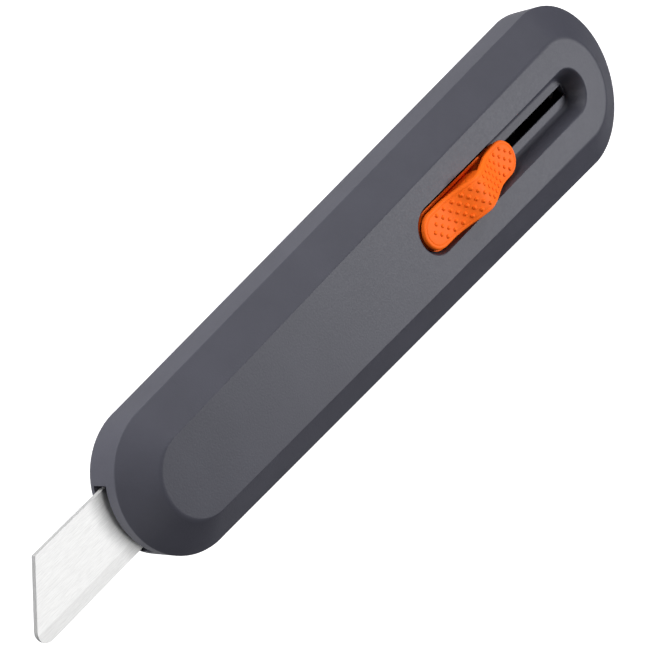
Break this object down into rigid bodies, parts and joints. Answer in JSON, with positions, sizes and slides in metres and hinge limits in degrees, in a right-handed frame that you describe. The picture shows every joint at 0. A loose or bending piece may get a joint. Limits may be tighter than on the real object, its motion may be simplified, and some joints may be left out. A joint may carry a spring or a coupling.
{
  "type": "utility knife",
  "caption": "Retractable utility knife with a white ceramic blade, grey two-part handle, orange thumb slider and a hinged rear cover for changing the blade.",
  "frame": {"origin": "middle of the flat rear face, where the knife rests on a table", "axes": "+X along the handle towards the blade tip, +Y towards the cutting edge, +Z from the rear face towards the slider"},
  "size_m": [0.1804, 0.0368, 0.0222],
  "materials": {
    "housing": "fine matte texture",
    "slider": "satin",
    "inner_plastic": "satin",
    "blade_ceramic": "ground, fine lines along the length",
    "steel": "satin",
    "rubber": "matte"
  },
  "bodies": {
    "handle": {"front_shell": "housing", "hinge_pin": "steel", "catch_clip_left": "steel", "catch_clip_right": "steel", "rail_left": "inner_plastic", "rail_right": "inner_plastic", "detent_rack": "inner_plastic", "front_stop": "rubber", "rear_stop": "rubber", "blade_guide": "inner_plastic"},
    "cover": {"rear_cover": "housing"},
    "carriage": {"blade_carrier": "inner_plastic", "blade": "blade_ceramic", "blade_clip": "steel", "clip_rivet_front": "steel", "clip_rivet_rear": "steel", "detent_spring": "steel", "detent_rivet": "steel", "slider_base": "slider", "slider_screw_front": "steel", "slider_screw_rear": "steel", "pad_pin": "steel", "pad_spring": "steel"},
    "pad": {"slider_pad": "slider"}
  },
  "joints": [
    {"name": "blade_slide", "type": "slide", "parent": "handle", "child": "carriage", "axis": [-1, 0, 0], "range_m": [0, 0.026], "deforming": ["detent_spring"]},
    {"name": "pad_press", "type": "hinge", "parent": "carriage", "child": "pad", "pos_m": [-0.007, 0, 0.0173], "axis": [0, -1, 0], "range_deg": [0, 1.3], "stiffness_Nm_per_rad": 2, "springref_deg": -0.57, "deforming": ["pad_spring"]},
    {"name": "cover_hinge", "type": "hinge", "parent": "handle", "child": "cover", "pos_m": [-0.061, 0, 0.002], "axis": [0, 1, 0], "range_deg": [0, 70]}
  ]
}
